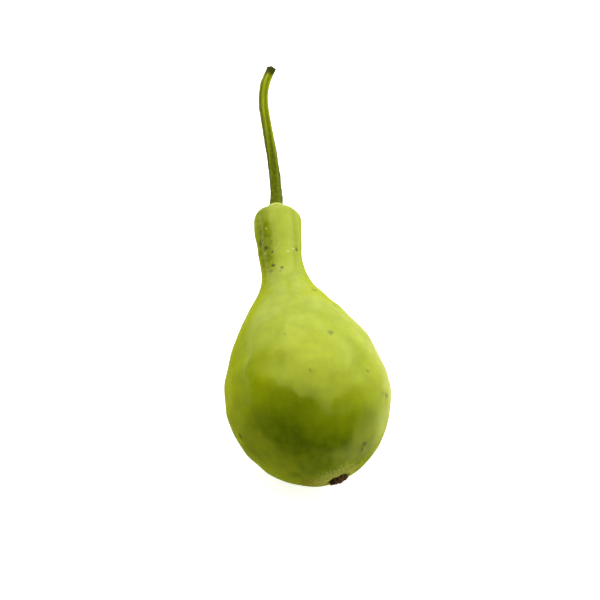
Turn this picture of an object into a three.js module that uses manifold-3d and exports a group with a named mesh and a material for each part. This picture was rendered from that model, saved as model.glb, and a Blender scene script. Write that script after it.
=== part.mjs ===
// A young bottle gourd, picked with its stalk, lying on its belly on a table.
// Millimetres, +Z up. +Y runs along the gourd from the blossom end to the stalk.
// The origin is the middle of the flat spot that the gourd rests on.
import * as THREE from 'three';
import { mergeVertices } from 'three/addons/utils/BufferGeometryUtils.js';
import Module from 'manifold-3d';

// Fruit. A station is a distance along the fruit from its blossom end.
const FRUIT_LENGTH = 213.8;
const BULB_RADIUS = 53.5;
const BULB_STATION = 58.5;
const WAIST_RADIUS = 15;
const WAIST_STATION = 160.5;
const HEAD_RADIUS = 16.7;
const HEAD_STATION = 200.5;
const CROWN_RADIUS = 11.7; // where the rounded head turns into the crown's cone
const CROWN_HEIGHT = 8.9;

// How far the outline runs on straight at each station before it turns.
const BLOSSOM_REACH = 26.6;
const BULB_REACH_BELOW = 32.2;
const BULB_REACH_ABOVE = 48.8;
const SHOULDER_REACH = 31.4;
const NECK_REACH = 24.5;
const HEAD_REACH_BELOW = 16.9;
const HEAD_REACH_ABOVE = 7.3;

// The fruit's middle line sways sideways: what pulls it at the blossom end, at a third
// and two thirds of its length, and at the crown, which ends to the right.
const BLOSSOM_SIDE = -2.2;
const BULB_SIDE = 3.2;
const NECK_SIDE = -1.1;
const CROWN_SIDE = 10.8;

// Faint lengthwise swellings of the bulb, over its seed chambers.
const SWELLINGS = 5;
const SWELLING_HEIGHT = 0.5;
const SWELLING_TURN = 0.4;

// How the gourd lies: neck lowered, on a spot pressed flat under its weight.
const NECK_DOWN = THREE.MathUtils.degToRad(6);
const FLAT_DEPTH = 2;

// Stalk: a ridged stem with a thicker foot and a cut end.
const STALK_FOOT_RADIUS = 4.9;
const STALK_RADIUS = 3.85;
const STALK_TIP_RADIUS = 3.3;
const STALK_CUT_RADIUS = 3.4;
const STALK_RIDGES = 5;
const STALK_RIDGE_HEIGHT = 0.36;
const STALK_TWIST = 0.9;
const STALK_FOOT_LENGTH = 26;
const STALK_CUT_LENGTH = 6;
const SOCKET_DEPTH = 3;
const COLLAR_WIDTH = 1.5;

// Beyond the crown the stalk straightens, rises slowly, and its tip hooks to the right.
const STALK_ROUTE = [
  [13.5, 229.5, 0.8],
  [16.1, 251.5, 3.5],
  [17.7, 279.6, 9.5],
  [18.7, 298.4, 15.5],
  [22.7, 313.4, 20],
  [30.6, 326.8, 23],
];

// Blossom scar: the corky button that the flower left, set in a shallow pit.
const SCAR_RADIUS = 6.2;
const SCAR_THICKNESS = 3;
const SCAR_PROUD = 1; // how far it stands out of the skin
const SCAR_RIM = 0.7;
const SCAR_SIDE = 10.4; // right of the blossom pole, seen with the stalk away
const SCAR_BELOW = 7;

const FIT_GAP = 0.3;
const FLAT_TOLERANCE = 0.03;
const WELD_TOLERANCE = 1e-4;
const ROUND_SIDES = 48;
const STALK_SIDES = 20;
const SCAR_SIDES = 24;
const FRUIT_STEPS = 12;
const STALK_STEPS = 18;
const SCAR_STEPS = 4;

const wasm = await Module();
wasm.setup();

// Only the positions are kept, so that shared vertices merge into one closed skin.
function closedSkin(geometry) {
  geometry.deleteAttribute('normal');
  geometry.deleteAttribute('uv');
  return mergeVertices(geometry, WELD_TOLERANCE);
}

function solidOf(geometry) {
  return new wasm.Manifold(new wasm.Mesh({
    numProp: 3,
    vertProperties: new Float32Array(geometry.attributes.position.array),
    triVerts: new Uint32Array(geometry.index.array),
  }));
}

function geometryOf(solid) {
  const mesh = solid.getMesh();
  return new THREE.BufferGeometry()
    .setAttribute('position', new THREE.BufferAttribute(mesh.vertProperties, 3))
    .setIndex(new THREE.BufferAttribute(mesh.triVerts, 1));
}

// Carries a turned form, whose axis is +Y, along a spine: each section keeps its shape
// and stands square to the spine at the share of its length that shareAt gives.
function carryAlong(geometry, spine, shareAt, swell) {
  const position = geometry.attributes.position;
  const point = new THREE.Vector3();
  const along = new THREE.Vector3();
  const side = new THREE.Vector3();
  const over = new THREE.Vector3();
  for (let i = 0; i < position.count; i++) {
    const station = position.getY(i);
    const radius = Math.hypot(position.getX(i), position.getZ(i));
    const angle = Math.atan2(position.getZ(i), position.getX(i));
    const grown = radius + swell(station, angle, radius);
    const share = shareAt(station);
    spine.getPoint(share, point);
    spine.getTangent(share, along);
    side.set(1, 0, 0).addScaledVector(along, -along.x).normalize();
    over.crossVectors(side, along);
    point.addScaledVector(side, grown * Math.cos(angle));
    point.addScaledVector(over, grown * Math.sin(angle));
    position.setXYZ(i, point.x, point.y, point.z);
  }
  return geometry;
}

// Fruit outline, from the blossom pole over the bulb, waist and head to the stalk's socket.
function fruitOutline() {
  const socketRadius = STALK_FOOT_RADIUS + FIT_GAP;
  const collarRadius = socketRadius + COLLAR_WIDTH;
  return new THREE.Path()
    .moveTo(0, 0)
    .bezierCurveTo(BLOSSOM_REACH, 0,
      BULB_RADIUS, BULB_STATION - BULB_REACH_BELOW, BULB_RADIUS, BULB_STATION)
    .bezierCurveTo(BULB_RADIUS, BULB_STATION + BULB_REACH_ABOVE,
      WAIST_RADIUS, WAIST_STATION - SHOULDER_REACH, WAIST_RADIUS, WAIST_STATION)
    .bezierCurveTo(WAIST_RADIUS, WAIST_STATION + NECK_REACH,
      HEAD_RADIUS, HEAD_STATION - HEAD_REACH_BELOW, HEAD_RADIUS, HEAD_STATION)
    .bezierCurveTo(HEAD_RADIUS, HEAD_STATION + HEAD_REACH_ABOVE,
      CROWN_RADIUS, FRUIT_LENGTH - CROWN_HEIGHT, collarRadius, FRUIT_LENGTH)
    .lineTo(socketRadius, FRUIT_LENGTH)
    .lineTo(socketRadius, FRUIT_LENGTH - SOCKET_DEPTH)
    .lineTo(0, FRUIT_LENGTH - SOCKET_DEPTH);
}

const fruitSpine = new THREE.CubicBezierCurve3(
  new THREE.Vector3(BLOSSOM_SIDE, 0, 0),
  new THREE.Vector3(BULB_SIDE, FRUIT_LENGTH / 3, 0),
  new THREE.Vector3(NECK_SIDE, FRUIT_LENGTH * 2 / 3, 0),
  new THREE.Vector3(CROWN_SIDE, FRUIT_LENGTH, 0),
);

// The swellings are highest on the bulb and die out at the blossom end and the waist.
function fruitSwelling(station, angle) {
  const share = THREE.MathUtils.clamp(station / WAIST_STATION, 0, 1);
  const fade = Math.sin(Math.PI * share) ** 2;
  return SWELLING_HEIGHT * fade * Math.cos(SWELLINGS * angle + SWELLING_TURN);
}

function fruitSkin() {
  const turned = new THREE.LatheGeometry(fruitOutline().getPoints(FRUIT_STEPS), ROUND_SIDES);
  const shareAt = (station) => station / FRUIT_LENGTH;
  return closedSkin(carryAlong(turned, fruitSpine, shareAt, fruitSwelling));
}

// A box whose top face is the table, in the frame of the gourd before it is laid down.
function tableBelow(skin) {
  const lying = skin.clone().rotateX(-NECK_DOWN);
  lying.computeBoundingBox();
  const { min, max } = lying.boundingBox;
  const size = 2 * (max.y - min.y);
  const top = min.z + FLAT_DEPTH;
  const box = new THREE.BoxGeometry(size, size, size).translate(0, 0, top - size / 2);
  return { box: closedSkin(box.rotateX(NECK_DOWN)), top };
}

// The middle of the flat spot, in the frame of the gourd once it is laid down.
function flatSpotMiddle(cutSkin, top) {
  const lying = cutSkin.clone().rotateX(-NECK_DOWN).attributes.position;
  const spot = new THREE.Box3();
  const vertex = new THREE.Vector3();
  for (let i = 0; i < lying.count; i++) {
    vertex.fromBufferAttribute(lying, i);
    if (vertex.z - top < FLAT_TOLERANCE) spot.expandByPoint(vertex);
  }
  return spot.getCenter(new THREE.Vector3()).setZ(top);
}

// Blossom scar: a low button turned about its own axis, with a sunken middle.
function scarButton() {
  const outline = new THREE.Path()
    .moveTo(0, 0)
    .lineTo(SCAR_RADIUS, 0)
    .lineTo(SCAR_RADIUS, SCAR_THICKNESS - SCAR_RIM)
    .quadraticCurveTo(SCAR_RADIUS, SCAR_THICKNESS, SCAR_RADIUS - SCAR_RIM, SCAR_THICKNESS)
    .quadraticCurveTo(SCAR_RADIUS / 2, SCAR_THICKNESS, 0, SCAR_THICKNESS - SCAR_RIM);
  return new THREE.LatheGeometry(outline.getPoints(SCAR_STEPS), SCAR_SIDES);
}

// The pit's floor lies a gap below the button, and its wall runs well out of the skin.
function scarPit() {
  const radius = SCAR_RADIUS + FIT_GAP;
  const height = 2 * SCAR_RADIUS;
  return new THREE.CylinderGeometry(radius, radius, height, SCAR_SIDES)
    .translate(0, height / 2 - FIT_GAP, 0);
}

// Where the scar's floor sits in the skin, and which way it faces: out of the blossom end.
function scarPlace(skin) {
  const from = new THREE.Vector3(BLOSSOM_SIDE + SCAR_SIDE, -FRUIT_LENGTH, -SCAR_BELOW);
  const ray = new THREE.Raycaster(from, new THREE.Vector3(0, 1, 0));
  const hit = ray.intersectObject(new THREE.Mesh(skin))[0];
  const lean = new THREE.Vector3(SCAR_SIDE, -BULB_RADIUS, -SCAR_BELOW).normalize();
  const turn = new THREE.Quaternion().setFromUnitVectors(new THREE.Vector3(0, 1, 0), lean);
  const floor = hit.point.addScaledVector(lean, SCAR_PROUD - SCAR_THICKNESS);
  return { floor, turn, matrix: new THREE.Matrix4().compose(floor, turn, new THREE.Vector3(1, 1, 1)) };
}

// The stalk starts square in its socket, just clear of the floor, and then takes its route.
function stalkSpine() {
  const crown = fruitSpine.getPoint(1);
  const heading = fruitSpine.getTangent(1);
  return new THREE.CatmullRomCurve3([
    crown.clone().addScaledVector(heading, FIT_GAP - SOCKET_DEPTH),
    crown.clone().addScaledVector(heading, SOCKET_DEPTH),
    ...STALK_ROUTE.map((point) => new THREE.Vector3(...point)),
  ]);
}

function stalkOutline(length) {
  return new THREE.Path()
    .moveTo(0, 0)
    .lineTo(STALK_FOOT_RADIUS, 0)
    .lineTo(STALK_FOOT_RADIUS, SOCKET_DEPTH)
    .bezierCurveTo(STALK_FOOT_RADIUS, STALK_FOOT_LENGTH / 3,
      STALK_RADIUS, STALK_FOOT_LENGTH / 2, STALK_RADIUS, STALK_FOOT_LENGTH)
    .bezierCurveTo(STALK_RADIUS, length / 2,
      STALK_TIP_RADIUS, length * 3 / 4, STALK_TIP_RADIUS, length - STALK_CUT_LENGTH)
    .quadraticCurveTo(STALK_TIP_RADIUS, length, STALK_CUT_RADIUS, length)
    .lineTo(0, length);
}

// The ridges start above the socket and turn slowly round the stalk.
function stalkRidges(length) {
  return (station, angle, radius) => {
    const grown = THREE.MathUtils.smoothstep(station, SOCKET_DEPTH, STALK_FOOT_LENGTH / 2);
    const turn = STALK_TWIST * station / length;
    const share = radius / STALK_RADIUS;
    return STALK_RIDGE_HEIGHT * grown * share * Math.cos(STALK_RIDGES * (angle + turn));
  };
}

function stalkSkin() {
  const spine = stalkSpine();
  const length = spine.getLength();
  const turned = new THREE.LatheGeometry(stalkOutline(length).getPoints(STALK_STEPS), STALK_SIDES);
  const shareAt = (station) => spine.getUtoTmapping(Math.min(station / length, 1));
  return closedSkin(carryAlong(turned, spine, shareAt, stalkRidges(length)));
}

function natural(colour, roughness) {
  return new THREE.MeshStandardMaterial({ color: colour, roughness, metalness: 0 });
}

function named(name, geometry, material) {
  const mesh = new THREE.Mesh(geometry, material);
  mesh.name = name;
  return mesh;
}

const rind = natural(0xa9bb46, 0.42);
const stem = natural(0x6d7d1f, 0.6);
const cork = natural(0x4a3420, 0.85);

const whole = fruitSkin();
const place = scarPlace(whole);
const table = tableBelow(whole);
const pit = closedSkin(scarPit()).applyMatrix4(place.matrix);
const fruitSolid = solidOf(whole).subtract(solidOf(pit)).subtract(solidOf(table.box));

const fruit = named('fruit', geometryOf(fruitSolid), rind);
const stalk = named('stalk', stalkSkin(), stem);
const scar = named('blossom_scar', closedSkin(scarButton()), cork);
scar.position.copy(place.floor);
scar.quaternion.copy(place.turn);

const gourd = new THREE.Group();
gourd.add(fruit, stalk, scar);
gourd.rotation.x = -NECK_DOWN;
gourd.position.copy(flatSpotMiddle(fruit.geometry, table.top)).negate();

export default gourd;
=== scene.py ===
"""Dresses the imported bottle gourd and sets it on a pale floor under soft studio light.

The fruit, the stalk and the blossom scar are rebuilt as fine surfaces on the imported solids, each with a
procedural finish. Lengths in the classes are millimetres in the gourd's own frame, before it is laid down:
+Y runs from the blossom end to the stalk, and +Z is the side that ends on top. Lie turns and moves them into
the row frame, in metres.
"""

import logging
import math
from dataclasses import dataclass
from enum import Enum
from typing import Any, Sequence

import bpy
import numpy as np
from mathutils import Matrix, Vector


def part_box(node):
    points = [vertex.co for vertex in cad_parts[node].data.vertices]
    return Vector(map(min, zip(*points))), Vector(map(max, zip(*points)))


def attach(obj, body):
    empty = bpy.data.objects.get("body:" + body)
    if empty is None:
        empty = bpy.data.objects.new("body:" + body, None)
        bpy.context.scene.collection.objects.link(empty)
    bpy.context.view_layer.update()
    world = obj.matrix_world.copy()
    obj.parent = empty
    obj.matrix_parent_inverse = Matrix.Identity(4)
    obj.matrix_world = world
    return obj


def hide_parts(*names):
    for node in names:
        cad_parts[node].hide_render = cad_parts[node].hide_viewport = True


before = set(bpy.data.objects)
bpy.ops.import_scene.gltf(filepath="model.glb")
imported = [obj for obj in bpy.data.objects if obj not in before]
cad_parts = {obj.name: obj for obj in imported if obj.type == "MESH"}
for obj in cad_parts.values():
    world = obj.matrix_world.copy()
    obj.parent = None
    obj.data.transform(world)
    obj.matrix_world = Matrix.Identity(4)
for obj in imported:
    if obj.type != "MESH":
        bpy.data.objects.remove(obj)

LOG = logging.getLogger("gourd")
MM = 0.001
TURN = 2 * np.pi
NECK_DOWN = math.radians(6.0)
BODY = "root"
# The names of the attributes that the pieces carry
STRAIGHT = "straight"
SHARE = "share"
CREST = "crest"
SCUFF = "scuff"
# The deeper green: partly the skin's own tone, partly painted shade, with painted bounce light on the belly
GREEN_AND_SHADE = "green"

Array = np.ndarray
Socket = bpy.types.NodeSocket
Colour = tuple[float, float, float, float]


def colour(red: int, green: int, blue: int) -> Colour:
    """Turns a colour as a screen shows it, 0 to 255, into the linear one that shaders use.

    Args:
        red: The red part.
        green: The green part.
        blue: The blue part.

    Returns:
        The linear colour, with full alpha.
    """
    screen = np.array([red, green, blue]) / 255.0
    linear = np.where(screen <= 0.04045, screen / 12.92, ((screen + 0.055) / 1.055) ** 2.4)
    return (*linear.tolist(), 1.0)


def smoothstep(value: Array, low: float, high: float) -> Array:
    """A smooth rise from 0 at low to 1 at high: 3 t^2 - 2 t^3, with t the share of the way."""
    share = np.clip((value - low) / (high - low), 0.0, 1.0)
    return share * share * (3.0 - 2.0 * share)


def cubic(t: Array, controls: Sequence[Any]) -> Array:
    """A cubic Bezier curve: four control values weighted by the Bernstein polynomials of t."""
    p0, p1, p2, p3 = controls
    return (1 - t) ** 3 * p0 + 3 * (1 - t) ** 2 * t * p1 + 3 * (1 - t) * t ** 2 * p2 + t ** 3 * p3


def bezier(controls: Sequence[Any], count: int) -> Array:
    """Points on a cubic Bezier curve, without its last, where the next stretch starts."""
    return cubic(np.linspace(0.0, 1.0, count, endpoint=False)[:, None], np.array(controls, float))


def spline(points: Array, steps: int) -> Array:
    """A centripetal Catmull-Rom curve through points.

    Between each two points it is the cubic with the slopes that the neighbours give, where the spans between
    points are the square roots of their distances. The two ends are carried on straight.

    Args:
        points: The points, one a row.
        steps: How many points to make for each span.

    Returns:
        The curve's points, one a row.
    """
    ends = np.vstack([2 * points[0] - points[1], points, 2 * points[-1] - points[-2]])
    spans = np.sqrt(np.linalg.norm(np.diff(ends, axis=0), axis=1))[:, None]
    p0, p1, p2, p3 = ends[:-3], ends[1:-2], ends[2:-1], ends[3:]
    d0, d1, d2 = spans[:-2], spans[1:-1], spans[2:]
    out = d1 * ((p1 - p0) / d0 - (p2 - p0) / (d0 + d1) + (p2 - p1) / d1)
    into = d1 * ((p2 - p1) / d1 - (p3 - p1) / (d1 + d2) + (p3 - p2) / d2)
    t = np.linspace(0.0, 1.0, steps, endpoint=False)[None, :, None]
    p1, p2, out, into = (part[:, None] for part in (p1, p2, out, into))
    return np.vstack([cubic(t, (p1, p1 + out / 3, p2 - into / 3, p2)).reshape(-1, 3), points[-1:]])


def unit(vectors: Array) -> Array:
    """Scales each vector to a length of 1."""
    return vectors / np.linalg.norm(vectors, axis=-1, keepdims=True)


def angles(count: int, sides: int) -> Array:
    """Even angles once round, the same for each of a count of sections."""
    return np.tile(np.linspace(0.0, TURN, sides, endpoint=False), (count, 1))


def straightened(radius: Array, angle: Array, station: Array) -> Array:
    """The points of a piece as if its path ran straight up Z: round it in X and Y, along it in Z."""
    return np.stack([radius * np.cos(angle), radius * np.sin(angle), station + 0 * angle], axis=-1)


def carry(radius: Array, angle: Array, centre: Array, along: Array) -> Array:
    """Sections carried along a path: centre + radius (cos angle side + sin angle over).

    side is +X made square to the path, and over is side crossed with the path's direction.

    Args:
        radius: The distance from the path, for each section and angle.
        angle: The angle round the path, for each section and angle.
        centre: The path's point at each section.
        along: The path's unit direction at each section.

    Returns:
        A grid of points, sections by angles.
    """
    side = unit(np.array([1.0, 0.0, 0.0]) - along * along[:, :1])
    over = np.cross(side, along)
    outward = np.cos(angle)[..., None] * side[:, None] + np.sin(angle)[..., None] * over[:, None]
    return centre[:, None] + radius[..., None] * outward


def waves(points: Array, count: int, shortest: float, longest: float, seed: int) -> Array:
    """Gentle lumps: a sum of plane waves with seeded headings, lengths and phases, with a mean square of 1.

    Args:
        points: Where to take the sum.
        count: How many waves.
        shortest: The shortest wave's length.
        longest: The longest wave's length.
        seed: The seed of the draw.

    Returns:
        One value for each point.
    """
    draw = np.random.default_rng(seed)
    total = np.zeros(points.shape[:-1])
    for _ in range(count):
        heading = unit(draw.normal(size=3))
        length = draw.uniform(shortest, longest)
        total += np.sin(TURN * (points @ heading) / length + draw.uniform(0.0, TURN))
    return total * math.sqrt(2.0 / count)


def link(name: str, data: Any) -> bpy.types.Object:
    """Makes an object and links it to the scene.

    Args:
        name: The object's name.
        data: Its mesh, light or camera.

    Returns:
        The object, at the origin.
    """
    made = bpy.data.objects.new(name, data)
    bpy.context.scene.collection.objects.link(made)
    return made


def closed_skin(name: str, rows: Array, straight: Array, values: dict[str, Array]) -> bpy.types.Object:
    """Makes a closed, smooth mesh from rows of points round a path, with a pole in the middle of each end.

    Args:
        name: The piece's name.
        rows: A grid of points in the row frame, sections by angles.
        straight: The same points on the straightened piece, in mm.
        values: Named values, one for each grid point.

    Returns:
        The piece, linked to the scene, at the origin.
    """
    count, sides = rows.shape[:2]
    near = np.arange(count * sides).reshape(count, sides)
    right = np.roll(near, -1, axis=1)
    quads = np.stack([near[:-1], near[1:], right[1:], right[:-1]], axis=-1).reshape(-1, 4)
    first = np.stack([np.full(sides, count * sides), near[0], right[0]], axis=-1)
    last = np.stack([np.full(sides, count * sides + 1), right[-1], near[-1]], axis=-1)

    def with_poles(grid: Array) -> Array:
        """Lists a grid's points, then the middle of its first row and of its last."""
        parts = grid.shape[2:]
        return np.concatenate([grid.reshape(-1, *parts), grid[0].mean(0)[None], grid[-1].mean(0)[None]])

    mesh = bpy.data.meshes.new(name)
    mesh.from_pydata(with_poles(rows).tolist(), [], quads.tolist() + first.tolist() + last.tolist())
    mesh.polygons.foreach_set("use_smooth", np.ones(len(mesh.polygons), bool))
    kept = mesh.attributes.new(STRAIGHT, "FLOAT_VECTOR", "POINT")
    kept.data.foreach_set("vector", with_poles(straight * MM).ravel())
    for key, grid in values.items():
        mesh.attributes.new(key, "FLOAT", "POINT").data.foreach_set("value", with_poles(grid).ravel())
    mesh.update()
    return link(name, mesh)


class Wiring:
    """Adds nodes to one node tree, with their settings, values and links."""

    def __init__(self, tree: bpy.types.NodeTree) -> None:
        """Keeps the tree that the nodes go into."""
        self.tree = tree

    def feed(self, node: bpy.types.Node, inputs: dict[Any, Any]) -> None:
        """Links sockets to a node's inputs, or sets the inputs to plain values.

        Args:
            node: The node.
            inputs: A socket or a value for each input, by the input's name or number.
        """
        for key, value in inputs.items():
            if isinstance(value, bpy.types.NodeSocket):
                self.tree.links.new(value, node.inputs[key])
            else:
                node.inputs[key].default_value = value

    def node(self, kind: str, inputs: dict[Any, Any] | None = None, **settings: Any) -> bpy.types.Node:
        """Adds one node.

        Args:
            kind: The node's type, without the words ShaderNode in front.
            inputs: Sockets or values for the node's inputs, by name or number.
            settings: The node's own properties.

        Returns:
            The node.
        """
        made = self.tree.nodes.new("ShaderNode" + kind)
        for key, value in settings.items():
            setattr(made, key, value)
        self.feed(made, inputs or {})
        return made

    def math(self, operation: str, first: Any, second: Any = 0.0, third: Any = 0.0) -> Socket:
        """Works out one operation on two or three numbers, kept between 0 and 1."""
        inputs = {0: first, 1: second, 2: third}
        return self.node("Math", inputs, operation=operation, use_clamp=True).outputs[0]

    def vector(self, operation: str, first: Any, second: Any) -> Any:
        """Works out one operation on two vectors, and gives the node's outputs."""
        return self.node("VectorMath", {0: first, 1: second}, operation=operation).outputs

    def mix(self, share: Any, first: Any, second: Any) -> Socket:
        """Mixes two colours: the first at share 0, the second at share 1."""
        return self.node("Mix", {0: share, 6: first, 7: second}, data_type="RGBA").outputs[2]

    def coats(self, skin: Any, coats: Sequence[tuple[Colour, Any, float]]) -> Any:
        """Lays coats of colour over a skin, one after the other.

        Args:
            skin: The colour underneath.
            coats: Each coat's colour, the mask of where it lies, and its strength.

        Returns:
            The colour on top.
        """
        for tint, mask, strength in coats:
            skin = self.mix(self.math("MULTIPLY", mask, strength), skin, tint)
        return skin

    def rise(self, value: Any, low: float, high: float, bottom: float = 0.0, top: float = 1.0) -> Socket:
        """A smooth rise from bottom at low to top at high, or a fall where high is below low."""
        ends = (low, high, bottom, top) if low < high else (high, low, top, bottom)
        made = self.node("MapRange", dict(enumerate((value, *ends))), interpolation_type="SMOOTHSTEP")
        return made.outputs[0]

    def noise(self, vector: Socket, scale: Any, detail: float) -> Any:
        """Adds a noise texture, with scale in features a metre, and gives its outputs."""
        return self.node("TexNoise", {"Vector": vector, "Scale": scale, "Detail": detail}).outputs

    def attribute(self, name: str, output: str = "Fac") -> Socket:
        """Reads one of the piece's own attributes, as a number, or as a vector where that is the output."""
        return self.node("Attribute", attribute_name=name).outputs[output]

    def effect(self, effect: "Effect", **inputs: Any) -> Any:
        """Places a shared effect, with this material's own values, and gives its outputs."""
        values = {key.capitalize(): value for key, value in inputs.items()}
        return self.node("Group", values, node_tree=effect.tree()).outputs

    def spot(self, where: Socket, centre: Vector, radius: float, **edge: float) -> Socket:
        """Places one ragged spot, with its radius in mm, and how ragged and broken its edge is."""
        return self.effect(Effect.SPOT, vector=where, centre=centre, radius=radius * MM, **edge)[0]

    def bump(self, height: Socket, depth: float, strength: float) -> Socket:
        """Turns a height, from 0 to 1, into a bumped normal, with its depth in mm."""
        return self.node("Bump", {"Strength": strength, "Distance": depth * MM, "Height": height}).outputs[0]


def start_material(name: str) -> tuple[bpy.types.Material, Wiring, bpy.types.Node]:
    """Starts a material.

    Args:
        name: The material's name.

    Returns:
        The material, its wiring and its shader.
    """
    made = bpy.data.materials.new(name)
    made.use_nodes = True
    return made, Wiring(made.node_tree), made.node_tree.nodes["Principled BSDF"]


class Effect(Enum):
    """The effects that the finishes are made of. Each is a node group, built once."""

    MOTTLE = "skin mottle"
    SPOT = "ragged spot"
    FLECKS = "scattered flecks"
    FIBRES = "drawn fibres"

    def tree(self) -> bpy.types.NodeTree:
        """Gives the effect's node group, and builds it the first time.

        Returns:
            The group. It takes a vector and the inputs in EFFECT_MAKERS, and puts out masks from 0 to 1.
        """
        found = bpy.data.node_groups.get(self.value)
        if found:
            return found
        maker, inputs, outputs = EFFECT_MAKERS[self]
        tree = bpy.data.node_groups.new(self.value, "ShaderNodeTree")
        for key in ("Vector", *inputs):
            kind = "NodeSocketVector" if key in VECTOR_INPUTS else "NodeSocketFloat"
            tree.interface.new_socket(name=key, in_out="INPUT", socket_type=kind)
        for key in outputs:
            tree.interface.new_socket(name=key, in_out="OUTPUT", socket_type="NodeSocketFloat")
        wiring = Wiring(tree)
        masks = maker(wiring, tree.nodes.new("NodeGroupInput").outputs)
        wiring.feed(tree.nodes.new("NodeGroupOutput"), masks)
        return tree


def make_mottle(wiring: Wiring, given: Any) -> dict[str, Socket]:
    """Skin mottle: soft clouds of noise at a scale, and finer ones at a fifth of their size."""
    broad = wiring.noise(given["Vector"], given["Scale"], detail=3.0)[0]
    finer = wiring.node("Math", {0: given["Scale"], 1: 5.0}, operation="MULTIPLY").outputs[0]
    fine = wiring.noise(given["Vector"], finer, detail=4.0)[0]
    return {"Broad": wiring.rise(broad, low=0.34, high=0.66), "Fine": wiring.rise(fine, low=0.3, high=0.7)}


def make_spot(wiring: Wiring, given: Any) -> dict[str, Socket]:
    """Ragged spot: 1 near a centre and 0 past a radius, its edge shaken and broken by noise."""
    where = given["Vector"]
    shake = wiring.noise(where, scale=620.0, detail=3.0)["Color"]
    shake = wiring.vector("SUBTRACT", shake, (0.5, 0.5, 0.5))[0]
    reach = wiring.math("MULTIPLY", given["Radius"], given["Ragged"])
    moved = wiring.vector("ADD", where, wiring.vector("MULTIPLY", shake, reach)[0])[0]
    away = wiring.vector("DISTANCE", moved, given["Centre"])["Value"]
    inside = wiring.rise(wiring.math("DIVIDE", away, given["Radius"]), low=1.0, high=0.45)
    specks = wiring.rise(wiring.noise(where, scale=850.0, detail=2.0)[0], low=0.56, high=0.44)
    left = wiring.math("SUBTRACT", inside, wiring.math("MULTIPLY", specks, given["Broken"]))
    return {"Mask": wiring.rise(left, low=0.1, high=0.65)}


def make_flecks(wiring: Wiring, given: Any) -> dict[str, Socket]:
    """Scattered flecks: a dot of its own size in each of a share of the cells of a Voronoi pattern."""
    cells = wiring.node("TexVoronoi", {"Vector": given["Vector"], "Scale": given["Scale"]}).outputs
    drawn = wiring.node("SeparateColor", {0: cells["Color"]}).outputs
    kept = wiring.math("LESS_THAN", drawn[0], given["Share"])
    size = wiring.math("MULTIPLY_ADD", drawn[1], 0.22, 0.12)
    inside = wiring.rise(wiring.math("DIVIDE", cells["Distance"], size), low=1.0, high=0.4)
    return {"Mask": wiring.math("MULTIPLY", kept, inside)}


def make_fibres(wiring: Wiring, given: Any) -> dict[str, Socket]:
    """Drawn fibres: noise that is drawn out along Z."""
    drawn = wiring.node("CombineXYZ", {0: 1.0, 1: 1.0, 2: given["Stretch"]}).outputs[0]
    vector = wiring.vector("MULTIPLY", given["Vector"], drawn)[0]
    strands = wiring.noise(vector, given["Scale"], detail=4.0)[0]
    return {"Mask": wiring.rise(strands, low=0.32, high=0.68)}


VECTOR_INPUTS = ("Vector", "Centre")
EFFECT_MAKERS = {
    Effect.MOTTLE: (make_mottle, ["Scale"], ["Broad", "Fine"]),
    Effect.SPOT: (make_spot, ["Centre", "Radius", "Ragged", "Broken"], ["Mask"]),
    Effect.FLECKS: (make_flecks, ["Scale", "Share"], ["Mask"]),
    Effect.FIBRES: (make_fibres, ["Scale", "Stretch"], ["Mask"]),
}


class Tone(Enum):
    """What a mark on the rind looks like."""

    DARK = "dark"
    PALE = "pale"
    GREY = "grey"


@dataclass(frozen=True)
class Mark:
    """A scuff, bite or corky speck on the rind, at a station and an angle round it, in mm and degrees."""

    station: float
    angle: float
    radius: float


@dataclass(frozen=True)
class Patch:
    """A welt, a dent or a worn place on the rind, at a station and an angle round it, in mm and degrees."""

    station: float
    angle: float
    height: float
    length: float
    width: float

    def spread(self, station: Array, angle: Array, radius: Any) -> Array:
        """A Gaussian hill of the station and of the way round, which is the angle times the radius.

        Args:
            station: Distances along the fruit.
            angle: Angles round the fruit.
            radius: The radius, or 1 where the patch's width is an angle.

        Returns:
            The hill's height at each place.
        """
        turn = np.angle(np.exp(1j * (angle - math.radians(self.angle))))
        far = ((station - self.station) / self.length) ** 2 + (turn * radius / self.width) ** 2
        return self.height * np.exp(-far)


MARKS = {
    Tone.GREY: (
        Mark(186, 144, 2.6), Mark(148, 99, 1.3), Mark(151, 123, 1.4), Mark(124, 55, 2.4),
        Mark(106, 48, 2.2), Mark(50, 89, 1.6), Mark(76, 69, 2.6), Mark(80, 101, 1.3),
        Mark(41, 28, 1.5), Mark(9, 23, 1.6), Mark(6.5, 8, 3.0), Mark(7, -15, 3.2),
        Mark(96, -120, 2.0),
    ),
    Tone.DARK: (
        Mark(178, 151, 3.0), Mark(171, 131, 2.0), Mark(166, 113, 1.3), Mark(169, 42, 1.9),
        Mark(155, 116, 1.7), Mark(151, 93, 1.7), Mark(51, 45, 1.4), Mark(42, 21, 2.2),
        Mark(13, 30, 1.9), Mark(11, 28, 1.7), Mark(34, 168, 2.6), Mark(60, -150, 2.4),
        Mark(88, -35, 2.6), Mark(175, -60, 1.8),
    ),
    Tone.PALE: (
        Mark(186, 121, 1.1), Mark(168, 134, 1.0), Mark(168, 54, 1.0), Mark(165, 72, 0.9),
    ),
}
WELTS = (
    Patch(37, 101, height=0.25, length=4.0, width=1.8),
    Patch(32, 76, height=0.18, length=4.0, width=1.8),
    Patch(6.5, -4, height=-0.8, length=4.0, width=4.5),
)
WORN = (
    Patch(173, 146, height=1.0, length=24, width=0.62),
    Patch(9, 10, height=0.7, length=8, width=0.5),
)


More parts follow.
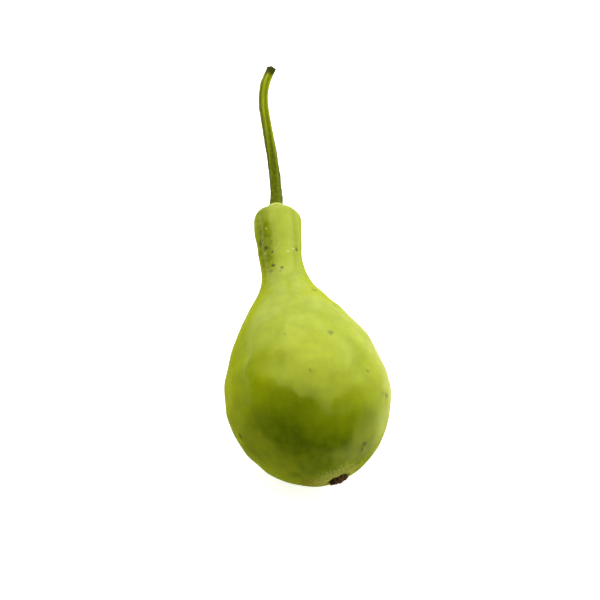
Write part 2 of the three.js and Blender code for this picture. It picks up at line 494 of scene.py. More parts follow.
@dataclass(frozen=True)
class RindFinish:
    """Pale yellow-green skin, semi-gloss, mottled, with pores, scuffs and a paler collar."""

    # The deeper green is partly the skin's own tone and partly painted shade over the lower bulb
    blossom: Colour = colour(74, 94, 0)
    shoulder: Colour = colour(137, 151, 4)
    pale: Colour = colour(162, 173, 8)
    deep: Colour = colour(106, 122, 0)
    olive: Colour = colour(84, 98, 0)
    pore: Colour = colour(172, 182, 50)
    collar: Colour = colour(172, 180, 74)
    stain: Colour = colour(96, 82, 14)
    callus: Colour = colour(178, 172, 104)
    tones: tuple[tuple[Tone, Colour, float], ...] = (
        (Tone.GREY, colour(86, 98, 0), 0.8),
        (Tone.DARK, colour(46, 54, 0), 1.0),
        (Tone.PALE, colour(188, 194, 104), 0.8),
    )
    stain_radius: float = 14.0
    callus_radius: float = 24.0
    mark_spread: float = 1.25
    mark_depth: float = 0.5
    smoothest: float = 0.14
    mottle_roughness: float = 0.08
    worn_roughness: float = 0.3
    gloss: float = 0.65
    sheen: Colour = (1.0, 1.0, 0.33, 1.0)
    subsurface: float = 0.1
    subsurface_radius: tuple[float, float, float] = (1.0, 1.0, 0.3)
    subsurface_depth: float = 3.0

    def material(
        self, centres: dict[Tone, list[tuple[Vector, float]]], scar: Vector, stain: Vector
    ) -> bpy.types.Material:
        """Builds the rind's material: greens, mottling, wear, the stain, the scar's ring and the marks.

        Args:
            centres: The place of each mark, in metres, and its radius, in mm, by tone.
            scar: The middle of the blossom scar.
            stain: The middle of the brown stain beside it.

        Returns:
            The material.
        """
        made, wiring, shader = start_material("rind")
        where = wiring.node("TexCoord").outputs["Object"]
        share = wiring.attribute(SHARE)
        worn = wiring.attribute(SCUFF)
        green = wiring.attribute(GREEN_AND_SHADE)
        mottle = wiring.effect(Effect.MOTTLE, vector=where, scale=34.0)
        straight = wiring.attribute(STRAIGHT, "Vector")
        streaks = wiring.effect(Effect.FIBRES, vector=straight, scale=150.0, stretch=0.09)[0]
        pores = wiring.effect(Effect.FLECKS, vector=where, scale=520.0, share=0.4)[0]
        pores = wiring.math("MULTIPLY", pores, wiring.rise(green, low=1.0, high=0.0))
        grazed = wiring.effect(Effect.FIBRES, vector=where, scale=330.0, stretch=0.7)[0]
        grazed = wiring.math("MULTIPLY", wiring.rise(grazed, low=0.45, high=0.95), worn)
        spread = wiring.spot(where, stain, self.stain_radius, ragged=1.3, broken=0.5)
        ring = wiring.spot(where, scar, self.callus_radius, ragged=0.7, broken=0.7)

        marked: Any = 0.0
        tints = []
        for tone, tint, strength in self.tones:
            mask: Any = 0.0
            for centre, radius in centres[tone]:
                spot = wiring.spot(where, centre, self.mark_spread * radius, ragged=1.6, broken=0.55)
                mask = wiring.math("MAXIMUM", spot, mask)
            tints.append((tint, mask, strength))
            marked = wiring.math("MAXIMUM", mask, marked)

        # The deeper blossom-end green is partly the skin's own tone and partly painted shade
        skin = wiring.coats(wiring.mix(green, self.shoulder, self.blossom), [
            (self.pale, mottle["Broad"], 0.35),
            (self.deep, mottle["Fine"], 0.3),
            (self.pale, streaks, 0.16),
            (self.pore, pores, 0.09),
            (self.deep, wiring.rise(share, low=0.62, high=0.78), 0.18),
            (self.collar, wiring.rise(share, low=0.95, high=0.995), 0.8),
            (self.deep, worn, 0.6),
            (self.olive, grazed, 1.0),
            (self.stain, spread, 0.75),
            (self.callus, ring, 0.45),
            *tints,
        ])
        rough = wiring.math("MULTIPLY_ADD", mottle["Fine"], self.mottle_roughness, self.smoothest)
        dull = wiring.math("MULTIPLY", wiring.math("MAXIMUM", grazed, marked), self.worn_roughness)
        peel = wiring.noise(where, scale=900.0, detail=3.0)[0]
        height = wiring.math("SUBTRACT", peel, wiring.math("MULTIPLY", marked, self.mark_depth))
        wiring.feed(shader, {
            "Base Color": skin,
            "Roughness": wiring.math("MAXIMUM", rough, dull),
            "Normal": wiring.bump(height, depth=0.25, strength=0.2),
            "Specular IOR Level": self.gloss,
            "Specular Tint": self.sheen,
            "Subsurface Weight": self.subsurface,
            "Subsurface Radius": self.subsurface_radius,
            "Subsurface Scale": self.subsurface_depth * MM,
        })
        return made


@dataclass(frozen=True)
class StalkFinish:
    """Green ridged stem: olive at its foot, yellower above, brown where it was cut, with a painted highlight
    on its upper crests and painted shade in its grooves.
    """

    foot: Colour = colour(74, 86, 0)
    middle: Colour = colour(68, 79, 0)
    upper: Colour = colour(140, 152, 6)
    pale_tone_and_highlight: Colour = colour(158, 168, 26)
    dark_fibre_and_groove_shade: Colour = colour(50, 62, 0)
    rust: Colour = colour(122, 84, 26)
    cut: Colour = colour(54, 56, 4)
    withering: float = 0.02
    roughness: float = 0.6
    gloss: float = 0.15
    sheen: Colour = (1.0, 1.0, 0.05, 1.0)

    def material(self) -> bpy.types.Material:
        """Builds the stalk's material: greens along it, then a painted highlight on the ridges, painted
        shade in the grooves, rust and the cut end.

        Returns:
            The material.
        """
        made, wiring, shader = start_material("stalk")
        straight = wiring.attribute(STRAIGHT, "Vector")
        share = wiring.attribute(SHARE)
        crest = wiring.attribute(CREST)
        fibres = wiring.effect(Effect.FIBRES, vector=straight, scale=900.0, stretch=0.05)[0]
        mottle = wiring.effect(Effect.MOTTLE, vector=straight, scale=110.0)
        flecks = wiring.effect(Effect.FLECKS, vector=straight, scale=260.0, share=0.22)[0]
        upward = wiring.rise(share, low=0.0, high=0.7)
        withered = wiring.math("ADD", share, wiring.math("MULTIPLY", mottle["Broad"], self.withering))
        skin = wiring.coats(self.foot, [
            (self.middle, wiring.rise(share, low=0.05, high=0.4), 1.0),
            (self.upper, wiring.rise(share, low=0.32, high=0.76), 1.0),
            # Painted highlight on the crests, growing up the stalk, then painted shade in the grooves
            (self.pale_tone_and_highlight, wiring.math("MULTIPLY", wiring.rise(crest, low=0.0, high=0.95), upward), 0.55),
            (self.dark_fibre_and_groove_shade, wiring.rise(crest, low=0.1, high=-0.9), 0.6),
            (self.dark_fibre_and_groove_shade, fibres, 0.28),
            (self.pale_tone_and_highlight, mottle["Fine"], 0.2),
            (self.rust, flecks, 0.8),
            (self.cut, wiring.rise(withered, low=0.925, high=0.985), 1.0),
        ])
        wiring.feed(shader, {
            "Base Color": skin,
            "Normal": wiring.bump(fibres, depth=0.2, strength=0.5),
            "Roughness": self.roughness,
            "Specular IOR Level": self.gloss,
            "Specular Tint": self.sheen,
        })
        return made


@dataclass(frozen=True)
class CorkFinish:
    """Dark brown, dry and wrinkled cork, with painted shade on one side and mossy to the other."""

    bark: Colour = colour(92, 58, 26)
    crack_and_side_shade: Colour = colour(36, 20, 6)
    dust: Colour = colour(146, 112, 66)
    moss: Colour = colour(60, 52, 10)
    roughness: float = 0.8
    gloss: float = 0.2
    sheen: Colour = (1.0, 0.9, 0.5, 1.0)

    def material(self) -> bpy.types.Material:
        """Builds the cork's material: bark, cracks and dusty crests, then painted shade on one side and moss
        on the other.

        Returns:
            The material.
        """
        made, wiring, shader = start_material("scar")
        straight = wiring.attribute(STRAIGHT, "Vector")
        crest = wiring.attribute(CREST)
        across = wiring.node("SeparateXYZ", {0: straight}).outputs[0]
        mottle = wiring.effect(Effect.MOTTLE, vector=straight, scale=260.0)
        fibres = wiring.effect(Effect.FIBRES, vector=straight, scale=1100.0, stretch=0.25)[0]
        flecks = wiring.effect(Effect.FLECKS, vector=straight, scale=800.0, share=0.4)[0]
        skin = wiring.coats(self.bark, [
            (self.crack_and_side_shade, mottle["Broad"], 0.7),
            (self.dust, wiring.rise(crest, low=0.2, high=1.0), 0.5),
            (self.crack_and_side_shade, fibres, 0.4),
            (self.dust, flecks, 0.5),
            # Painted shade: the cork is darkened towards its shaded side
            (self.crack_and_side_shade, wiring.rise(across, low=0.5 * MM, high=5 * MM), 0.8),
            (self.moss, wiring.rise(across, low=-3 * MM, high=-6 * MM), 0.8),
        ])
        wiring.feed(shader, {
            "Base Color": skin,
            "Normal": wiring.bump(fibres, depth=0.3, strength=0.7),
            "Roughness": self.roughness,
            "Specular IOR Level": self.gloss,
            "Specular Tint": self.sheen,
        })
        return made


@dataclass(frozen=True)
class Lie:
    """How the gourd lies: its neck lowered about X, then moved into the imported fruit's box."""

    neck_down: float
    shift: Array

    def turned(self, own: Array) -> Array:
        """Turns points or directions of the gourd's own frame about X, so that the neck sinks.

        Args:
            own: The points or directions.

        Returns:
            The same, turned.
        """
        cos, sin = math.cos(self.neck_down), math.sin(self.neck_down)
        x, y, z = np.moveaxis(own, -1, 0)
        return np.stack([x, cos * y + sin * z, cos * z - sin * y], axis=-1)

    def points(self, own: Array) -> Array:
        """Takes points from the gourd's own frame, in mm, to the row frame, in metres."""
        return (self.turned(own) + self.shift) * MM

    @classmethod
    def of(cls, plain: Array, neck_down: float) -> "Lie":
        """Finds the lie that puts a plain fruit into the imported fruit's box.

        Its middle goes to the box's middle in X and Y, and its top to the box's top: the belly is cut flat.

        Args:
            plain: The plain fruit's points, in its own frame.
            neck_down: How far the neck sinks, in radians.

        Returns:
            The lie.
        """
        low, high = (np.array(corner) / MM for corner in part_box("fruit"))
        lying = cls(neck_down, np.zeros(3)).turned(plain).reshape(-1, 3)
        shift = (low + high - lying.min(0) - lying.max(0)) / 2
        shift[2] = high[2] - lying[:, 2].max()
        return cls(neck_down, shift)


@dataclass
class Scar:
    """The blossom scar: a corky button with a sunken middle, a raised rim and radial wrinkles."""

    radius: float = 6.2
    thickness: float = 3.0
    rim: float = 0.7
    wrinkles: int = 11
    wrinkle_height: float = 0.2
    wrinkle_width: float = 0.1
    lump_height: float = 0.22
    lump_width: float = 0.34
    relief_start: float = 0.3
    relief_full: float = 2.4
    nub_height: float = 0.7
    nub_radius: float = 1.1
    sides: int = 96
    finish: CorkFinish = CorkFinish()

    @property
    def centre(self) -> Array:
        """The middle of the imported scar, in the row frame, in metres."""
        low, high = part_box("blossom_scar")
        return np.array((low + high) / 2)

    def outline(self) -> Array:
        """Radius and height of the button's section, from underside over rim to sunken middle.

        Returns:
            The section's points, one a row.
        """
        wide, top, sunken = self.radius, self.thickness, self.thickness - self.rim
        base, side, brow = (wide * 0.94, 0.0), (wide, top / 2), (wide * 0.72, top)
        under = np.linspace((0.6, 0.0), base, 10, endpoint=False)
        wall = bezier([base, (wide, 0.0), (wide, 0.3), side], count=6)
        edge = bezier([side, (wide, top * 0.65), (wide * 0.92, top * 0.85), brow], count=14)
        bowl = bezier([brow, (wide * 0.5, top + 0.3), (1.6, sunken), (0.3, sunken)], count=24)
        return np.vstack([under, wall, edge, bowl])

    def build(self, axis: Array) -> bpy.types.Object:
        """Builds the button: its section turned about the axis, wrinkled by a wave of the angle.

        The wrinkles' wave is cos(n a + 2 sin a + sin(3 a + 1)), grown by the radius, stronger on one side.
        Lumps shake radius and height, and a nub stands in the middle: a Gaussian of the radius.

        Args:
            axis: The way that the scar faces, in the row frame.

        Returns:
            The piece, dressed.
        """
        outline = self.outline()
        angle = angles(len(outline), self.sides)
        radius, height = outline[:, :1], outline[:, 1:]
        straight = straightened(radius, angle, height)
        lumps = waves(straight, count=24, shortest=1.4, longest=6.0, seed=11)
        share = radius / self.radius
        crest = np.cos(self.wrinkles * angle + 2 * np.sin(angle) + np.sin(3 * angle + 1))
        crest = crest * share * (0.65 + 0.35 * np.sin(angle + 0.5))
        above = smoothstep(height, self.relief_start, self.relief_full)
        grown = radius + share * (self.lump_width * lumps + self.wrinkle_width * crest) * above
        nub = self.nub_height * np.exp(-(radius / self.nub_radius) ** 2)
        raised = height + above * (self.wrinkle_height * crest + self.lump_height * lumps + nub)

        side = unit(np.cross(axis, [0.0, 0.0, 1.0]))
        over = np.cross(axis, side)
        floor = self.centre - axis * self.thickness / 2 * MM
        across = np.cos(angle)[..., None] * side - np.sin(angle)[..., None] * over
        rows = floor + MM * (grown[..., None] * across + raised[..., None] * axis)
        piece = closed_skin("scar_button", rows, straight, {CREST: crest})
        piece.data.materials.append(self.finish.material())
        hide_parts("blossom_scar")
        return piece


@dataclass
class Fruit:
    """The fruit: bulb, shoulder, neck, head and a collar with the stalk's socket, grown as one piece.

    Bulb, waist and head are a radius and a station. From blossom_reach to head_above are curve handles.
    """

    length: float = 213.8
    bulb: tuple[float, float] = (53.5, 58.5)
    waist: tuple[float, float] = (15.0, 160.5)
    head: tuple[float, float] = (16.7, 200.5)
    crown_radius: float = 11.7
    crown_height: float = 8.9
    collar_radius: float = 6.7
    lip_radius: float = 0.7
    socket_radius: float = 5.2
    socket_depth: float = 3.0
    blossom_reach: float = 26.6
    bulb_below: float = 32.2
    bulb_above: float = 48.8
    shoulder_reach: float = 31.4
    neck_reach: float = 24.5
    head_below: float = 16.9
    head_above: float = 7.3
    sway: tuple[float, float, float, float] = (-2.2, 3.2, -1.1, 10.8)
    swellings: int = 5
    swelling_height: float = 0.5
    swelling_turn: float = 0.4
    facets: int = 14
    facet_height: float = 0.15
    facet_drift: float = 1.2
    lump_height: float = 0.3
    pleats: int = 5
    pleat_height: float = 0.3
    pleat_turn: float = 0.6
    pleat_start: float = 6.0
    relief_fade: float = 2.0
    scar_side: float = 10.4
    scar_below: float = 7.0
    stain_side: float = 17.0
    pit_depth: float = 2.3
    pit_floor: float = 5.6
    pit_edge: float = 8.0
    puckers: int = 7
    pucker_height: float = 0.22
    pucker_width: float = 3.5
    pucker_turn: float = 0.8
    flat_softness: float = 0.6
    # The green's edge, its tilt to the lit side and its paler belly: partly the skin's tone, partly painted
    # shade and bounce light
    green_full: float = 22.0
    green_gone: float = 50.0
    lit_side_tilt: float = 13.0
    green_wave: float = 3.0
    painted_bounce_fade: float = 0.5
    painted_bounce_edge: tuple[float, float] = (-0.3, 0.4)
    scar_fade: float = 0.6
    scar_fade_width: float = 17.0
    sides: int = 256
    finish: RindFinish = RindFinish()

    def outline(self) -> Array:
        """Radius and station of the fruit's section, from the blossom pole to the socket's floor.

        Returns:
            The section's points, one a row.
        """
        bulb, waist, head = np.array(self.bulb), np.array(self.waist), np.array(self.head)
        end, lip, floor = self.length, self.length - self.lip_radius, self.length - self.socket_depth
        outer, inner = (self.collar_radius, lip), (self.socket_radius, lip)
        cone, corner = (self.crown_radius, end - self.crown_height), (self.socket_radius, floor)
        return np.vstack([
            bezier([(0, 0), (self.blossom_reach, 0), bulb - (0, self.bulb_below), bulb], count=116)[1:],
            bezier([bulb, bulb + (0, self.bulb_above), waist - (0, self.shoulder_reach), waist], count=120),
            bezier([waist, waist + (0, self.neck_reach), head - (0, self.head_below), head], count=44),
            bezier([head, head + (0, self.head_above), cone, outer], count=34),
            bezier([outer, (outer[0], end), (inner[0], end), inner], count=8),
            np.linspace(inner, corner, 4, endpoint=False),
            np.linspace(corner, (0.5, floor), 4),
        ])

    def spine(self, station: Array) -> tuple[Array, Array]:
        """The fruit's middle line: a cubic Bezier sway in X over an even run in Y.

        Args:
            station: Distances along the fruit.

        Returns:
            The line's point and its unit direction at each station.
        """
        t = station / self.length
        x0, x1, x2, x3 = self.sway
        slope = 3 * (1 - t) ** 2 * (x1 - x0) + 6 * (1 - t) * t * (x2 - x1) + 3 * t ** 2 * (x3 - x2)
        along = np.stack([slope, np.full_like(t, self.length), np.zeros_like(t)], axis=-1)
        return np.stack([cubic(t, self.sway), station, np.zeros_like(t)], axis=-1), unit(along)

    def bulging(self, station: Array) -> Array:
        """A squared sine over the bulb, from 0 at the blossom end to 0 at the waist."""
        return np.sin(np.pi * np.clip(station / self.waist[1], 0.0, 1.0)) ** 2

    def swelling(self, station: Array, angle: Array) -> Array:
        """Seed-chamber swellings: a cosine round the bulb, faded towards its two ends."""
        wave = np.cos(self.swellings * angle + self.swelling_turn)
        return self.swelling_height * self.bulging(station) * wave

    def relief(self, station: Array, angle: Array, radius: Array, plain: Array) -> Array:
        """What the fine skin adds to the plain form: facets, lumps, crown pleats and welts.

        Facets are a cosine round the bulb whose phase drifts along it, pleats are a cosine that grows up the
        crown, welts are Gaussian hills, and lumps are seeded waves. All fade out where the skin runs into
        the socket.

        Args:
            station: Distances along the fruit.
            angle: Angles round the fruit.
            radius: The plain form's radius.
            plain: The plain form's points.

        Returns:
            The height to add to the radius.
        """
        drift = self.facet_drift * np.sin(TURN * station / self.length)
        total = self.facet_height * self.bulging(station) * np.cos(self.facets * angle + drift)
        total = total + self.lump_height * waves(plain, count=30, shortest=14.0, longest=38.0, seed=5)
        crown = smoothstep(station, self.head[1] - self.pleat_start, self.length - self.socket_depth)
        total = total + self.pleat_height * crown * np.cos(self.pleats * angle + self.pleat_turn)
        for welt in WELTS:
            total = total + welt.spread(station, angle, radius)
        return total * smoothstep(radius, self.socket_radius, self.collar_radius + self.relief_fade)

    def grid(self) -> tuple[Array, Array, Array]:
        """The station, the angle and the radius of each place on the plain form.

        Returns:
            The stations, one a row, and the angles and radii, sections by angles.
        """
        outline = self.outline()
        station, angle = outline[:, 1:], angles(len(outline), self.sides)
        return station, angle, outline[:, :1] + self.swelling(station, angle)

    def laid(self, station: Array, angle: Array, radius: Array) -> Array:
        """Points round the fruit's middle line, in the gourd's own frame."""
        return carry(radius, angle, *self.spine(station[:, 0]))

    def plain(self) -> Array:
        """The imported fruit's plain form: the section, with its swellings, carried along the spine."""
        return self.laid(*self.grid())

    def point(self, mark: Mark) -> Array:
        """The plain form's point at a mark's station and angle, in the gourd's own frame.

        Args:
            mark: The mark.

        Returns:
            The point.
        """
        outline = self.outline()
        outside = outline[: np.argmax(outline[:, 1])]
        radius = np.array([[np.interp(mark.station, outside[:, 1], outside[:, 0])]])
        return self.laid(np.array([[mark.station]]), np.array([[math.radians(mark.angle)]]), radius)[0, 0]

    def scar_axis(self, lie: Lie) -> Array:
        """The way that the blossom scar faces, in the row frame."""
        return lie.turned(unit(np.array([self.scar_side, -self.bulb[0], -self.scar_below])))

    def scuffed(self, station: Array, angle: Array) -> Array:
        """How worn the skin is: the worn patches summed, each a Gaussian of the station and the angle."""
        return np.clip(sum(patch.spread(station, angle, 1.0) for patch in WORN), 0.0, 1.0)

    def greened_and_shaded(self, station: Array, angle: Array, plain: Array) -> Array:
        """How deep the green is: full at the blossom end up to a wavy edge, and fainter on the belly. It is
        partly the skin's own tone and partly painted shade over the lower bulb, with its edge tilted back on
        the lit right side, and the paler belly is painted bounce light.

        Args:
            station: Distances along the fruit.
            angle: Angles round the fruit.
            plain: The plain form's points.

        Returns:
            The depth, 0 to 1, at each place.
        """
        wavy = self.green_wave * waves(plain, count=24, shortest=16.0, longest=40.0, seed=8)
        # Painted shade: the edge is tilted so that the lit right side keeps less green, and made ragged like
        # the edge of the shade
        edge = station + self.lit_side_tilt * np.cos(angle) + wavy
        # Painted bounce light: the belly, which faces the floor, is left paler
        belly = smoothstep(-np.sin(angle), *self.painted_bounce_edge)
        return (1 - smoothstep(edge, self.green_full, self.green_gone)) * (1 - self.painted_bounce_fade * belly)

    def build(self, lie: Lie, scar: Scar) -> bpy.types.Object:
        """Builds the skin: the plain form with its relief, a pit for the scar and a soft flat spot.

        The pit sinks the skin along the scar's axis by a smooth fall of the distance from that axis, and a
        cosine round the axis puckers its edge. The flat spot is a soft floor: (z + sqrt(z^2 + k^2)) / 2 for
        a small k.

        Args:
            lie: How the gourd lies.
            scar: The blossom scar, for the pit's place.

        Returns:
            The piece, dressed.
        """
        station, angle, radius = self.grid()
        plain = self.plain()
        grown = radius + self.relief(station, angle, radius, plain)
        rows = lie.points(self.laid(station, angle, grown))

        axis = self.scar_axis(lie)
        away = (rows - scar.centre) / MM
        height = away @ axis
        beside = np.linalg.norm(away - height[..., None] * axis, axis=-1)
        outside = height > -self.bulb[0]
        sunk = self.pit_depth * (1 - smoothstep(beside, self.pit_floor, self.pit_edge))
        round_pit = np.arctan2(away[..., 2], away[..., 0])
        ring = np.exp(-((beside - self.pit_edge) / self.pucker_width) ** 2)
        pucker = self.pucker_height * ring * np.cos(self.puckers * round_pit + self.pucker_turn)
        rows = rows - MM * (outside * (sunk - pucker))[..., None] * axis
        soft = self.flat_softness * MM
        rows[..., 2] = (rows[..., 2] + np.sqrt(rows[..., 2] ** 2 + soft ** 2)) / 2

        near_scar = np.exp(-(beside / self.scar_fade_width) ** 2) * outside
        values = {
            SHARE: station / self.length + 0 * angle,
            SCUFF: self.scuffed(station, angle),
            GREEN_AND_SHADE: self.greened_and_shaded(station, angle, plain) * (1 - self.scar_fade * near_scar),
        }
        piece = closed_skin("fruit_skin", rows, straightened(radius, angle, station), values)
        centres = {
            tone: [(Vector(lie.points(self.point(mark))), mark.radius) for mark in marks]
            for tone, marks in MARKS.items()
        }
        stain = scar.centre + lie.turned(np.array([-self.stain_side, 0.0, 0.0])) * MM
        piece.data.materials.append(self.finish.material(centres, Vector(scar.centre), Vector(stain)))
        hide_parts("fruit")
        return piece


@dataclass
class Stalk:
    """The stalk: a ridged, slowly twisting stem with a thicker foot and a cut, sunken end."""

    foot_radius: float = 4.9
    radius: float = 3.85
    tip_radius: float = 3.3
    cut_radius: float = 3.4
    ridges: int = 5
    ridge_height: float = 0.36
    ridge_sharpness: float = 1.5
    ribs_per_ridge: int = 3
    rib_height: float = 0.07
    rib_sway: float = 0.7
    rib_sway_length: float = 9.0
    lump_height: float = 0.1
    twist: float = 0.9
    foot_length: float = 26.0
    cut_length: float = 6.0
    socket_depth: float = 3.0
    fit_gap: float = 0.3
    span_steps: int = 60
    sides: int = 100
    route: tuple[tuple[float, float, float], ...] = (
        (13.5, 229.5, 0.8),
        (16.1, 251.5, 3.5),
        (17.7, 279.6, 9.5),
        (18.7, 298.4, 15.5),
        (22.7, 313.4, 20.0),
        (30.6, 326.8, 23.0),
    )
    finish: StalkFinish = StalkFinish()

    def path(self, fruit: Fruit) -> Array:
        """The stalk's middle line: square out of the fruit's socket, then a spline through its route.

        Args:
            fruit: The fruit that the stalk stands in.

        Returns:
            The line's points, one a row.
        """
        crown, heading = (part[0] for part in fruit.spine(np.array([fruit.length])))
        start = [crown + heading * (self.fit_gap - self.socket_depth), crown + heading * self.socket_depth]
        return spline(np.vstack([start, np.array(self.route)]), self.span_steps)

    def outline(self, length: float) -> Array:
        """Radius and station of the stalk's section, from its foot to the sunken middle of its cut end.

        Args:
            length: The stalk's length.

        Returns:
            The section's points, one a row.
        """
        foot, body, tip, cut = self.foot_radius, self.radius, self.tip_radius, self.cut_radius
        socket, flared, end = self.socket_depth, self.foot_length, length - self.cut_length
        rim, inner = (cut, length - 0.5), (tip * 0.8, length - 0.15)
        hollow = [(tip * 0.5, length - 0.7), (tip * 0.4, length - 1.3), (0.3, length - 1.0)]
        return np.vstack([
            np.linspace((1.0, 0.0), (foot, 0.0), 3, endpoint=False),
            np.linspace((foot, 0.0), (foot, socket), 4, endpoint=False),
            bezier([(foot, socket), (foot, flared / 3), (body, flared / 2), (body, flared)], count=24),
            bezier([(body, flared), (body, length / 2), (tip, length * 3 / 4), (tip, end)], count=250),
            bezier([(tip, end), (tip, length - 2), (cut, length - 2), rim], count=24),
            bezier([rim, (cut, length), (tip * 0.9, length), inner], count=8),
            bezier([inner, *hollow], count=10),
        ])

    def build(self, fruit: Fruit, lie: Lie) -> bpy.types.Object:
        """Builds the stem: its section carried along its path, with ridges, finer ribs and lumps.

        The ridges are a cosine of the angle that turns with the station, sharpened by a power, and the ribs
        are a cosine three times as fine. Both start above the socket.

        Args:
            fruit: The fruit that the stalk stands in.
            lie: How the gourd lies.

        Returns:
            The piece, dressed.
        """
        path = self.path(fruit)
        run = np.concatenate([[0.0], np.cumsum(np.linalg.norm(np.diff(path, axis=0), axis=1))])
        outline = self.outline(run[-1])
        radius, station = outline[:, :1], outline[:, 1:]
        heading = np.gradient(path, run, axis=0)
        centre = np.stack([np.interp(station[:, 0], run, path[:, i]) for i in range(3)], axis=-1)
        along = unit(np.stack([np.interp(station[:, 0], run, heading[:, i]) for i in range(3)], axis=-1))

        angle = angles(len(outline), self.sides)
        turned = angle + self.twist * station / run[-1]
        started = smoothstep(station, self.socket_depth, self.foot_length / 2)
        crest = 2 * ((1 + np.cos(self.ridges * turned)) / 2) ** self.ridge_sharpness - 1
        sway = self.rib_sway * np.sin(station / self.rib_sway_length)
        ribs = np.cos(self.ribs_per_ridge * self.ridges * turned + sway)
        straight = straightened(radius, turned, station)
        lumps = waves(straight, count=20, shortest=4.0, longest=16.0, seed=3)
        relief = self.ridge_height * (crest - crest.mean()) + self.rib_height * ribs
        relief = relief + self.lump_height * lumps
        grown = radius + radius / self.radius * started * relief
        rows = lie.points(carry(grown, angle, centre, along))
        values = {SHARE: station / run[-1] + 0 * angle, CREST: crest * started}
        piece = closed_skin("stalk_stem", rows, straight, values)
        piece.data.materials.append(self.finish.material())
        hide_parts("stalk")
        return piece


def direction(azimuth: float, elevation: float) -> Vector:
    """The way from the gourd to a camera or light: azimuth 0 is on the blossom side, and 90 on the right.

    Args:
        azimuth: The angle round the gourd, in degrees.
        elevation: The angle above the floor, in degrees.

    Returns:
        A unit direction.
    """
    turn, lift = math.radians(azimuth), math.radians(elevation)
    return Vector((math.sin(turn) * math.cos(lift), -math.cos(turn) * math.cos(lift), math.sin(lift)))


def look_at(made: bpy.types.Object, target: Vector, back: Vector, distance: float) -> None:
    """Moves a light or a camera so that it looks at a target, from a distance in a direction."""
    made.location = target + back * distance
    made.rotation_euler = (-back).to_track_quat("-Z", "Y").to_euler()


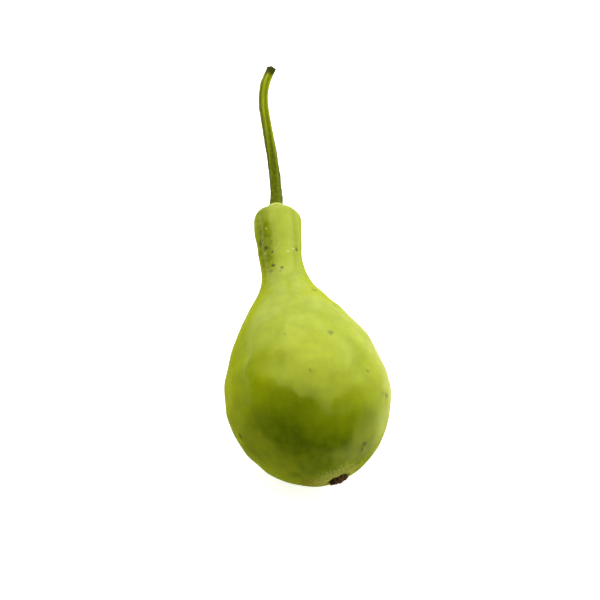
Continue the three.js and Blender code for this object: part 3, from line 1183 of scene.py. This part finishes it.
@dataclass
class Studio:
    """The pale floor, the soft light and the camera at the photograph's angle."""

    azimuth: float = -12.0
    elevation: float = 64.0
    distance: float = 0.7481
    lens: float = 65.0
    clip: tuple[float, float] = (0.01, 100.0)
    aim: tuple[float, float, float] = (0.0093, 0.0718, 0.040)
    panel_aim: tuple[float, float, float] = (0.0, 0.03, 0.05)
    floor_radius: float = 12.0
    floor_sides: int = 128
    floor_tint: Colour = colour(240, 240, 238)
    floor_dim: float = 0.97
    floor_roughness: float = 0.7
    # Painted light: the floor glows for all but glossy rays, standing in for bounce light on the gourd's
    # underside and lifting the floor's shadow
    painted_bounce_glow: Colour = (0.78, 0.78, 0.75, 1.0)
    # Painted reflection: the floor as the gourd's gloss sees it, dim on the left, bright on the right and
    # behind
    painted_reflection_left: Colour = (0.5, 0.52, 0.02, 1.0)
    painted_reflection_right: Colour = (1.0, 1.0, 0.45, 1.0)
    painted_reflection_back: Colour = (0.9, 0.92, 0.8, 1.0)
    painted_reflection_side: tuple[float, float] = (0.045, 0.1)
    painted_reflection_far: tuple[float, float] = (0.15, 0.4)
    no_glow: Colour = (0.0, 0.0, 0.0, 1.0)
    dome_azimuth: float = 150.0
    dome_elevation: float = 12.0
    dome_edge: float = 0.05
    dome_full: float = 0.7
    dome_strength: float = 1.4
    room_strength: float = 0.05
    backdrop: Colour = (1.0, 1.0, 1.0, 1.0)
    panel_azimuth: float = 146.0
    panel_elevation: float = 59.0
    panel_distance: float = 1.0
    panel_size: float = 2.3
    panel_power: float = 21.0

    def build(self) -> None:
        """Builds the floor, the room's own light, the panel and the camera."""
        self.floor()
        self.surroundings()
        self.panel()
        self.camera()

    def floor(self) -> None:
        """A wide disc, points on a circle, pale and faintly clouded. Glossy rays see painted reflection
        colours in its place, and other rays see it with a painted glow that stands in for bounce light.
        """
        turn = angles(1, self.floor_sides)[0]
        ring = np.stack([np.cos(turn), np.sin(turn), np.zeros_like(turn)], axis=-1) * self.floor_radius
        mesh = bpy.data.meshes.new("floor")
        mesh.from_pydata(ring.tolist(), [], [list(range(len(ring)))])
        made, wiring, shader = start_material("floor")
        where = wiring.node("TexCoord").outputs["Object"]
        across, along, _ = wiring.node("SeparateXYZ", {0: where}).outputs
        dim = tuple(self.floor_dim * part for part in self.floor_tint[:3]) + (1.0,)
        pale = wiring.mix(wiring.noise(where, scale=9.0, detail=3.0)[0], self.floor_tint, dim)
        # Painted reflection: glossy rays see a dim floor on the left and a bright one on the right and
        # behind, not its own colour
        painted_reflection = wiring.mix(wiring.rise(across, *self.painted_reflection_side), self.painted_reflection_left, self.painted_reflection_right)
        painted_reflection = wiring.mix(wiring.rise(along, *self.painted_reflection_far), painted_reflection, self.painted_reflection_back)
        glossy = wiring.node("LightPath").outputs["Is Glossy Ray"]
        wiring.feed(shader, {
            "Base Color": wiring.mix(glossy, pale, painted_reflection),
            # Painted light: the floor glows, though it is no lamp, to stand in for bounce light and to lift
            # its shadow
            "Emission Color": wiring.mix(glossy, self.painted_bounce_glow, self.no_glow),
            "Emission Strength": 1.0,
            "Roughness": self.floor_roughness,
        })
        mesh.materials.append(made)
        piece = link("floor", mesh)

    def surroundings(self) -> None:
        """A dome of soft light, brightest behind the gourd, that the camera sees as a white backdrop."""
        world = bpy.data.worlds.new("studio")
        world.use_nodes = True
        bpy.context.scene.world = world
        wiring = Wiring(world.node_tree)
        where = wiring.node("TexCoord").outputs["Generated"]
        heading = direction(self.dome_azimuth, self.dome_elevation)
        facing = wiring.vector("DOT_PRODUCT", where, heading)["Value"]
        strengths = {"bottom": self.room_strength, "top": self.dome_strength}
        glow = wiring.rise(facing, self.dome_edge, self.dome_full, **strengths)
        seen = wiring.node("LightPath").outputs["Is Camera Ray"]
        shade = wiring.mix(seen, glow, self.backdrop)
        wiring.feed(world.node_tree.nodes["Background"], {"Color": shade})

    def panel(self) -> None:
        """Adds a large square light behind the gourd, out of the camera's sight."""
        light = bpy.data.lights.new("back_panel", "AREA")
        light.shape = "SQUARE"
        light.size = self.panel_size
        light.energy = self.panel_power
        lamp = link("back_panel", light)
        back = direction(self.panel_azimuth, self.panel_elevation)
        look_at(lamp, Vector(self.panel_aim), back, self.panel_distance)
        lamp.visible_camera = False

    def camera(self) -> None:
        """Adds the camera, which looks at the aim from the photograph's azimuth and elevation."""
        data = bpy.data.cameras.new("camera")
        data.lens = self.lens
        data.clip_start, data.clip_end = self.clip
        camera = link("camera", data)
        look_at(camera, Vector(self.aim), direction(self.azimuth, self.elevation), self.distance)
        bpy.context.scene.camera = camera
        bpy.context.scene.view_settings.view_transform = "Standard"


def main() -> None:
    """Builds the studio and the gourd's pieces in order, and reports each piece."""
    logging.basicConfig(level=logging.INFO)
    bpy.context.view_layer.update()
    Studio().build()
    fruit, scar, stalk = Fruit(), Scar(), Stalk()
    lie = Lie.of(fruit.plain(), NECK_DOWN)
    pieces = [fruit.build(lie, scar), stalk.build(fruit, lie), scar.build(fruit.scar_axis(lie))]
    for piece in pieces:
        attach(piece, BODY)
        LOG.info("%s: %d faces", piece.name, len(piece.data.polygons))


if __name__ == "__main__":
    main()
